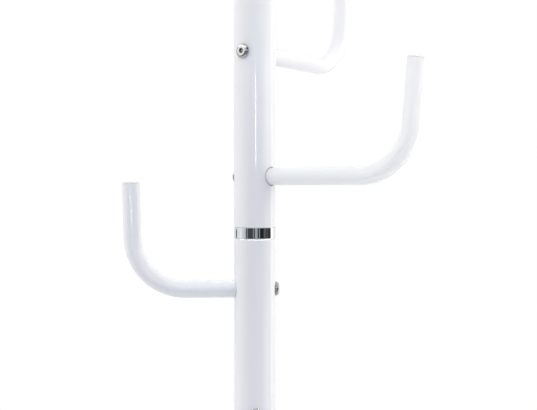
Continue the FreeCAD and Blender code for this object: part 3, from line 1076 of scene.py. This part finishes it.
skirt_middle = complex(high.x - SHEET / 2, low.z + SHEET / 2)
skirt_edge = arc(skirt_middle, SHEET / 2, -math.pi, 0, SKIRT_STEPS)
inside_face = [(point, -facing) for point, facing in reversed(dish_face(SHEET))]
seat_rim = [
    (complex(BOLT_HOLE_R, high.z), complex(-SLANT, SLANT)),
    (complex(BOLT_HOLE_R, high.z - SHEET), IN_DOWN),
]
dish = turned("foot_dish", dish_face(0.0) + seat_rim + inside_face + skirt_edge, steps=256)
put(dish, powder_coat, "white_paint", "base_shell")

# %% Plate
RECESS_R = 0.030
RECESS_FLARE = 0.004
RECESS_FLOOR_ROUND = 0.002
RECESS_ROUND = 0.003
PLATE_ROUND = 0.0004
low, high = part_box("base_plate")
profile = rounded(
    [
        (BOLT_HOLE_R, high.z - SHEET, 0),
        (RECESS_R, high.z - SHEET, RECESS_FLOOR_ROUND),
        (RECESS_R + RECESS_FLARE, low.z, RECESS_ROUND),
        (high.x, low.z, PLATE_ROUND),
        (high.x, low.z + SHEET, PLATE_ROUND),
        (RECESS_R + RECESS_FLARE, low.z + SHEET, RECESS_ROUND - SHEET),
        (RECESS_R, high.z, RECESS_ROUND),
        (BOLT_HOLE_R, high.z, 0),
    ]
)
put(turned("foot_plate", profile, steps=192), galvanised, "galvanised_sheet", "base_plate")

# %% [markdown]
# ## Pads
# Four rubber pads keep the plate off the floor. One pad is turned with soft edges and a hollow in
# its sole, and a tree repeats it round a circle.

# %% Pad tree
ring_of_pads, ins, outs = new_tree(
    "ring_of_pads",
    [("Geometry", GEOMETRY, None), ("Count", WHOLE, 4), ("Circle radius", FLOAT, 0.15)],
)
circle = add(
    ring_of_pads,
    "GeometryNodeMeshCircle",
    {"Vertices": ins.outputs["Count"], "Radius": ins.outputs["Circle radius"]},
)
repeated = add(
    ring_of_pads,
    "GeometryNodeInstanceOnPoints",
    {"Points": circle.outputs["Mesh"], "Instance": ins.outputs["Geometry"]},
)
end_tree(ring_of_pads, repeated.outputs["Instances"], ins, outs)

# %% Four pads
PAD_COUNT = 4
PAD_R = 0.013
PAD_TAPER = 0.0015
PAD_SOLE_ROUND = 0.001
PAD_TOP_ROUND = 0.0006
HOLLOW_R = 0.006
HOLLOW_DEPTH = 0.0015
HOLLOW_ROUND = 0.0004
HOLLOW_LIP_ROUND = 0.0005
low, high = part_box("base_feet")
profile = rounded(
    [
        (0, HOLLOW_DEPTH, 0),
        (HOLLOW_R, HOLLOW_DEPTH, HOLLOW_ROUND),
        (HOLLOW_R, 0, HOLLOW_LIP_ROUND),
        (PAD_R - PAD_TAPER, 0, PAD_SOLE_ROUND),
        (PAD_R, high.z, PAD_TOP_ROUND),
        (0, high.z, 0),
    ]
)
pad = turned("pad", profile, steps=64, loop=False)
pad_circle = high.x - PAD_R
pads = grown(
    "foot_pads", ring_of_pads, pad, Count=PAD_COUNT, Circle_radius=pad_circle, Finish=foot_rubber
)
dress(pads, "rubber", "base_feet")

# %% [markdown]
# ## Pieces that stay as the CAD gives them
# Bolt, washer, studs, plugs, nuts and the cast weight sit inside the pole and the foot. Their
# shapes are right as they are, so they only take their finish.

# %% Inner pieces
inner_finishes = {
    inner_zinc: [
        "base_bolt",
        "base_washer",
        "hook_nuts",
        "lower_joint_stud",
        "upper_joint_stud",
        "lower_tube_foot_plug",
        "lower_tube_top_plug",
        "middle_tube_foot_plug",
        "middle_tube_top_plug",
        "upper_tube_foot_plug",
    ],
    concrete: ["base_ballast"],
}
for finish, names in inner_finishes.items():
    for name in names:
        mesh = frame["nodes"][name].data
        mesh.materials.clear()
        mesh.materials.append(finish)
    print(finish.name, "on", len(names), "CAD nodes")

# %% [markdown]
# ## Floor and background
# The stand is shown against white. A pale floor keeps its shadow and fades into the white
# background with distance, so no edge shows from any side.

# %% Floor
FLOOR_R = 6.0
FLOOR_STEPS = 96
FLOOR_DROP = 0.0003
FADE_START = 0.7
FADE_STOP = 2.4
rim = [cmath.rect(FLOOR_R, 2 * math.pi * k / FLOOR_STEPS) for k in range(FLOOR_STEPS)]
floor_mesh = bpy.data.meshes.new("floor")
floor_mesh.from_pydata([(p.real, p.imag, -FLOOR_DROP) for p in rim], [], [tuple(range(FLOOR_STEPS))])
floor = bpy.data.objects.new("floor", floor_mesh)
scene.collection.objects.link(floor)


def seen_ray(tree):
    """1 for rays from the camera, a reflection or glass, which see plain white, and else 0."""
    path = tree.nodes.new("ShaderNodeLightPath")
    direct = calc(tree, "MAXIMUM", path.outputs["Is Camera Ray"], path.outputs["Is Glossy Ray"])
    return calc(tree, "MAXIMUM", direct, path.outputs["Is Transmission Ray"])


floor_finish, tree, shader, position = new_material("pale_floor")
shader.inputs["Base Color"].default_value = (0.86, 0.86, 0.865, 1)
shader.inputs["Roughness"].default_value = 0.8
shader.inputs["Specular IOR Level"].default_value = 0.2
distance = add(tree, "ShaderNodeVectorMath", {0: position}, operation="LENGTH").outputs["Value"]
fade = ramp(tree, distance, FADE_START, FADE_STOP, 0.0, 1.0)
white_out = calc(tree, "MULTIPLY", fade, seen_ray(tree))
white = add(tree, "ShaderNodeEmission", {"Color": (1, 1, 1, 1), "Strength": 1.0})
blend = add(
    tree,
    "ShaderNodeMixShader",
    {0: white_out, 1: shader.outputs[0], 2: white.outputs[0]},
)
output = next(n for n in tree.nodes if n.type == "OUTPUT_MATERIAL")
tree.links.new(blend.outputs[0], output.inputs["Surface"])
floor_mesh.materials.append(floor_finish)

# %% World
AMBIENT = (0.739, 0.816, 1.0)
AMBIENT_STRENGTH = 0.612
world = bpy.data.worlds.new("studio")
scene.world = world
world.use_nodes = True
tree = world.node_tree
tree.nodes.clear()
soft = add(tree, "ShaderNodeBackground", {"Color": (*AMBIENT, 1), "Strength": AMBIENT_STRENGTH})
plain = add(tree, "ShaderNodeBackground", {"Color": (1, 1, 1, 1), "Strength": 1.0})
pick = add(
    tree,
    "ShaderNodeMixShader",
    {0: seen_ray(tree), 1: soft.outputs[0], 2: plain.outputs[0]},
)
end = tree.nodes.new("ShaderNodeOutputWorld")
tree.links.new(pick.outputs[0], end.inputs["Surface"])
print("world", world.name)

# %% [markdown]
# ## Light
# The photograph is lit by large soft lamps on both sides and above, most strongly from behind
# on the right, so both edges of the pole are bright and its front is a quiet grey. Five square
# lamps stand on the left here, six on the right and one above the front. They are hidden from
# the camera and from reflections, which see the white room instead.

# %% Lamps
LAMP_TARGET = Vector((0.0, 0.0, 1.25))
LEFT_TINT = (1.0, 0.936, 0.656)
RIGHT_TINT = (1.0, 0.936, 0.713)
# Azimuth and elevation in degrees, distance, size, colour, watts
LAMPS = {
    "lamp_left": (-88, 5, 2.0, 1.2, LEFT_TINT, 6.15),
    "lamp_left_high": (-75, 35, 1.8, 1.6, LEFT_TINT, 4.2),
    "lamp_left_top": (-80, 50, 1.8, 1.2, LEFT_TINT, 7.5),
    "lamp_left_low": (-75, -45, 1.2, 0.8, LEFT_TINT, 2.45),
    "lamp_left_back": (-130, 5, 2.0, 1.2, (1.0, 0.829, 0.854), 6.9),
    "lamp_right": (90, 5, 2.0, 1.2, RIGHT_TINT, 7.0),
    "lamp_right_near": (58, 8, 0.85, 0.4, RIGHT_TINT, 1.13),
    "lamp_right_front": (55, 35, 1.2, 0.6, RIGHT_TINT, 1.4),
    "lamp_right_high": (75, 35, 1.5, 0.8, RIGHT_TINT, 1.5),
    "lamp_right_top": (100, 50, 2.0, 1.4, RIGHT_TINT, 8.6),
    "lamp_right_back": (130, 5, 2.0, 1.2, (1.0, 0.92, 0.726), 9.6),
    "lamp_front_top": (0, 58, 2.0, 1.4, (1.0, 0.939, 0.854), 9.45),
}


def lamp_place(azimuth, elevation, distance):
    """A place seen from the pole: azimuth runs from the camera's side to the right."""
    a, e = math.radians(azimuth), math.radians(elevation)
    level = Vector((math.sin(a), -math.cos(a), 0)) * math.cos(e)
    return LAMP_TARGET + distance * (level + UP * math.sin(e))


def square_lamp(name, place, target, size, colour, power):
    """A soft lamp turned to its target, hidden from the camera and from reflections."""
    data = bpy.data.lights.new(name, "AREA")
    data.shape = "SQUARE"
    data.size = size
    data.energy = power
    data.color = colour
    lamp = bpy.data.objects.new(name, data)
    lamp.location = place
    lamp.rotation_euler = (Vector(target) - lamp.location).to_track_quat("-Z", "Y").to_euler()
    lamp.visible_camera = False
    lamp.visible_glossy = False
    scene.collection.objects.link(lamp)
    return lamp


for name, (azimuth, elevation, distance, size, colour, power) in LAMPS.items():
    square_lamp(name, lamp_place(azimuth, elevation, distance), LAMP_TARGET, size, colour, power)
print(len(LAMPS), "lamps")

# %% [markdown]
# ## Cards for the chrome
# Polished metal shows nothing but its room. In the photograph the ring mirrors a bright left
# side and darkness near the camera and on the right. A band of grey cards round the stand, seen
# by reflections alone, plays that part and also gives the paint its darker front. A low card in
# front, a high one on the right and a bright stripe at the right edge add to it. The darker a
# card is, the bluer it is, though only slightly.

# %% Walls and cards
WALL_R = 1.25
CARD_R = 1.2
CARD_STEP = 3
LESS_RED = 0.1
MORE_BLUE = 0.12
FRONT_BAND = (0.7, 1.6, 0.3)
# Left and right azimuth in degrees, brightness, lowest and highest level, length of the fade
WALLS = [
    (-165, -135, 0.7, 0.2, 1.85, 0.35),
    (-135, -100, 0.78, 0.2, 1.85, 0.35),
    (-100, -76, 0.86, 0.2, 1.85, 0.35),
    (-76, -64, 0.68, 0.2, 1.65, 0.35),
    (-64, -52, 0.57, 0.2, 1.65, 0.35),
    (-52, 28, 0.25, *FRONT_BAND),
    (118, 165, 0.95, 0.2, 2.2, 0.35),
]
CARDS = [
    (-129, -117, 0.05, 1.183, 1.21, 0.005),
    (-51.5, -45, 0.1, *FRONT_BAND),
    (-39.5, -11, 0.06, *FRONT_BAND),
    (-5.5, 0, 0.07, *FRONT_BAND),
    (4, 8, 0.55, *FRONT_BAND),
    (16.5, 22, 0.03, *FRONT_BAND),
    (28, 45, 0.015, *FRONT_BAND),
    (45, 51, 0.045, *FRONT_BAND),
    (51, 58, 0.12, *FRONT_BAND),
    (58, 77, 0.07, *FRONT_BAND),
    (77, 97, 0.04, *FRONT_BAND),
    (-75, 75, 0.1, 0.02, 0.7, 0.04),
    (15, 75, 0.08, 1.75, 2.6, 0.05),
    (-178, -100, 0.6, 0.1, 0.76, 0.03),
    (101, 112, 2.4, 0.2, 2.2, 0.35),
]


def glow_material(name, brightness, low, high, fade):
    """Even light in the middle of a card's height, fading to the white of the room at its ends."""
    material = bpy.data.materials.new(name)
    material.use_nodes = True
    tree = material.node_tree
    tree.nodes.clear()
    position = tree.nodes.new("ShaderNodeTexCoord").outputs["Object"]
    off_middle = calc(tree, "SUBTRACT", along_height(tree, position), (low + high) / 2)
    half = (high - low) / 2
    level = ramp(tree, calc(tree, "ABSOLUTE", off_middle), half - fade, half, brightness, 1.0)
    dark = 1 - min(brightness, 1)
    colour = (1 - LESS_RED * dark, 1, 1 + MORE_BLUE * dark, 1)
    glow = add(tree, "ShaderNodeEmission", {"Color": colour, "Strength": level})
    tree.links.new(glow.outputs[0], tree.nodes.new("ShaderNodeOutputMaterial").inputs["Surface"])
    return material


def curved_card(name, radius, left, right, brightness, low, high, fade):
    """A card bent round the pole, between two azimuths and two heights, for reflections only."""
    count = max(2, round((right - left) / CARD_STEP))
    line = [lamp_place(left + (right - left) * k / count, 0, radius) for k in range(count + 1)]
    points = [(p.x, p.y, h) for h in (low, high) for p in line]
    mesh = bpy.data.meshes.new(name)
    mesh.from_pydata(points, [], [(k, k + 1, count + 2 + k, count + 1 + k) for k in range(count)])
    mesh.materials.append(glow_material(name, brightness, low, high, fade))
    card = bpy.data.objects.new(name, mesh)
    for ray in ("camera", "diffuse", "transmission", "volume_scatter", "shadow"):
        setattr(card, "visible_" + ray, False)
    scene.collection.objects.link(card)


for number, wall in enumerate(WALLS):
    curved_card(f"wall_{number}", WALL_R, *wall)
for number, card in enumerate(CARDS):
    curved_card(f"card_{number}", CARD_R, *card)
print(len(WALLS), "walls and", len(CARDS), "cards")

# %% [markdown]
# ## Bright streaks
# Slim lamps draw the fine white lines that the photograph shows, one down the upper pole and
# one down the left hook. Others give that hook's front and the right side of both tubes their
# sheen and brighten the screw heads, and six strips overhead draw the light line under the
# upper ring. Light linking keeps each lamp to its own piece, and the lamps light no diffuse
# surface, so they appear as reflections alone.

# %% Streak lamps
WATTS_PER_RADIANCE = 4
STRIP_SIDES = 6
STRIP_R = 1.05
STRIP_LEVEL = 2.4
STRIP_WIDTH = 0.5
STRIP_RADIANCE = 45.0
# Piece, first and last end of the middle line, width, radiance
STREAKS = [
    ("upper_tube_painted", (0.086, -1.1, 1.345), (0.072, -1.1, 1.482), 0.04, 18.0),
    ("upper_tube_painted", (0.072, -1.1, 1.482), (0.006, -1.1, 1.535), 0.04, 12.0),
    ("middle_hook_1_tube", (-0.40, -1.1, 1.2937), (0.015, -1.1, 1.2287), 0.02, 15.0),
    ("middle_hook_1_tube", (-0.6, -1.1, 2.08), (0.3, -1.1, 2.08), 1.04, 0.5),
    ("upper_tube_painted", (0.97, -0.4, 1.33), (0.97, -0.4, 1.56), 0.7, 0.9),
    ("middle_tube_painted", (0.97, -0.4, 0.7), (0.97, -0.4, 1.07), 0.7, 0.6),
    ("hook_screws_plated", (-1.2, 0.6, 2.6), (-1.2, -0.8, 2.6), 1.0, 2.0),
    ("hook_screws_plated", (-1.2, -0.9, 2.6), (0.0, -0.9, 2.6), 1.0, 1.2),
]
for number in range(STRIP_SIDES):
    turn = 2 * math.pi * number / STRIP_SIDES
    middle = Vector((STRIP_R * math.sin(turn), -STRIP_R * math.cos(turn), STRIP_LEVEL))
    half = Vector((math.cos(turn), math.sin(turn), 0)) * STRIP_R * math.tan(math.pi / STRIP_SIDES)
    STREAKS.append(("middle_tube_painted", middle - half, middle + half, STRIP_WIDTH, STRIP_RADIANCE))


def light_only(lamp, *piece_names):
    """Keeps a lamp's light to the named pieces."""
    lit = bpy.data.collections.new("lit_by_" + lamp.name)
    for piece_name in piece_names:
        lit.objects.link(bpy.data.objects[piece_name])
    lamp.light_linking.receiver_collection = lit


def streak_lamp(name, piece_name, first, last, width, radiance):
    """A strip between two ends that faces the pole and shows only as a reflection."""
    data = bpy.data.lights.new(name, "AREA")
    data.shape = "RECTANGLE"
    data.size = width
    data.size_y = (last - first).length
    data.energy = WATTS_PER_RADIANCE * width * data.size_y * radiance
    lamp = bpy.data.objects.new(name, data)
    along = (last - first).normalized()
    middle = (first + last) / 2
    away = Vector((middle.x, middle.y, 0)).normalized()
    away = (away - along * along.dot(away)).normalized()
    turn = Matrix((along.cross(away), along, away)).transposed()
    lamp.matrix_world = Matrix.Translation(middle) @ turn.to_4x4()
    lamp.visible_camera = False
    lamp.visible_diffuse = False
    scene.collection.objects.link(lamp)
    light_only(lamp, piece_name)


for number, (piece_name, first, last, width, radiance) in enumerate(STREAKS):
    streak_lamp(f"streak_{number}", piece_name, Vector(first), Vector(last), width, radiance)
print(len(STREAKS), "streak lamps")

# %% [markdown]
# ## Light on the hooks
# In the photograph the bends and uprights of the three hooks are brighter than lamps for the
# whole stand can make them. Small lamps, some with a narrow beam, are each kept to one hook.

# %% Hook lamps
# Hook, place, target, size, spread of the beam in degrees, watts
FILLS = [
    ("upper_hook_1", (0.2, -0.7, 1.4), (0.126, -0.087, 1.38), 0.3, 40, 0.034),
    ("upper_hook_1", (0.2, -0.7, 1.4), (0.128, -0.088, 1.385), 0.06, 13, 0.0016),
    ("upper_hook_2", (0.2, -0.7, 1.5), (0.087, 0.126, 1.52), 0.06, 10, 0.0042),
    ("upper_hook_2", (0.6, -0.1, 0.9), (0.08, 0.115, 1.43), 0.06, 8, 0.002),
    ("upper_hook_1", (0.2, -0.4, 0.6), (0.12, -0.083, 1.32), 0.3, 40, 0.034),
    ("upper_hook_1", (0.25, -0.35, 0.65), (0.118, -0.081, 1.32), 0.06, 8, 0.0022),
    ("upper_hook_2", (0.06, 0.0, 0.8), (0.06, 0.09, 1.42), 0.3, 40, 0.04),
    ("middle_hook_1", (-0.08, 0.3, 1.75), (-0.08, 0.0, 1.2), 0.3, 40, 0.03),
    ("middle_hook_1", (-0.08, 0.0, 1.9), (-0.1, 0.0, 1.2), 0.3, 40, 0.035),
]
for number, (hook_name, place, target, size, spread, power) in enumerate(FILLS):
    lamp = square_lamp(f"fill_{number}", place, target, size, RIGHT_TINT, power)
    lamp.data.spread = math.radians(spread)
    light_only(lamp, hook_name + "_tube", hook_name + "_plug")
print(len(FILLS), "hook lamps")
